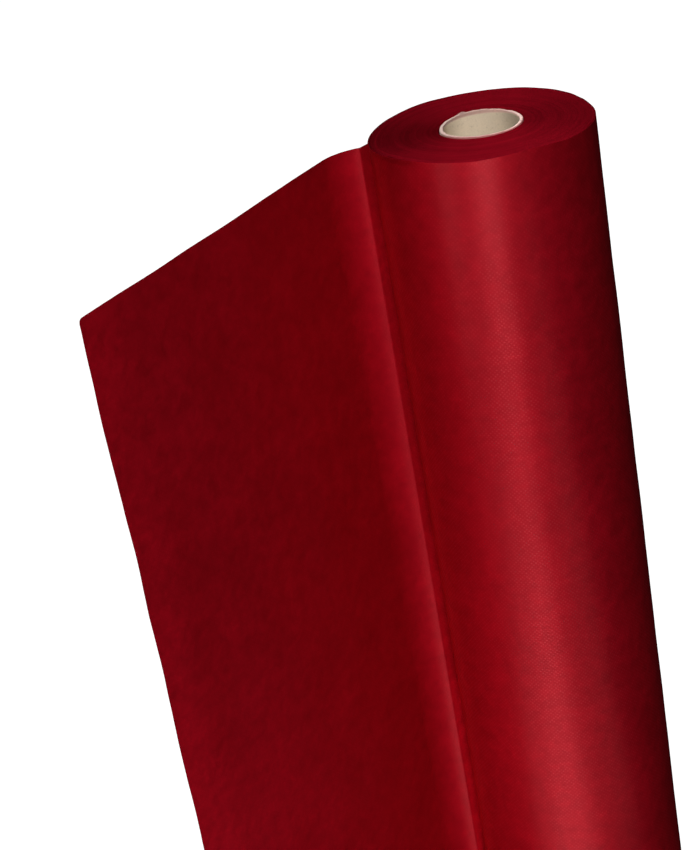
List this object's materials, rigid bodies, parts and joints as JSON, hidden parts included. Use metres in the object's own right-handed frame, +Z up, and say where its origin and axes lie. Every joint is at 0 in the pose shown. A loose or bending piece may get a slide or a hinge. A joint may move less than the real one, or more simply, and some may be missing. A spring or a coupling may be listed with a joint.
{
  "type": "roll of nonwoven fabric",
  "caption": "Standing roll of burgundy nonwoven cloth wound on a cardboard core tube, with its loose end pulled open into a flat flap.",
  "frame": {"origin": "on the surface the roll stands on, under the middle of the whole object's box in plan", "axes": "+Z up along the roll's axis; -Y is the side the picture is taken from; the loose end comes off the roll's -X side and lies open towards -X and -Y"},
  "size_m": [0.3064, 0.3118, 0.8015],
  "materials": {
    "nonwoven_cloth": "matt burgundy spunbond cloth with a fine point-bonded emboss and a soft broad sheen",
    "core_board": "plain pale spiral-wound cardboard with a cut, slightly fibrous rim"
  },
  "bodies": {
    "root": {"core": "core_board", "wound_roll": "nonwoven_cloth", "loose_end": "nonwoven_cloth"}
  },
  "joints": []
}
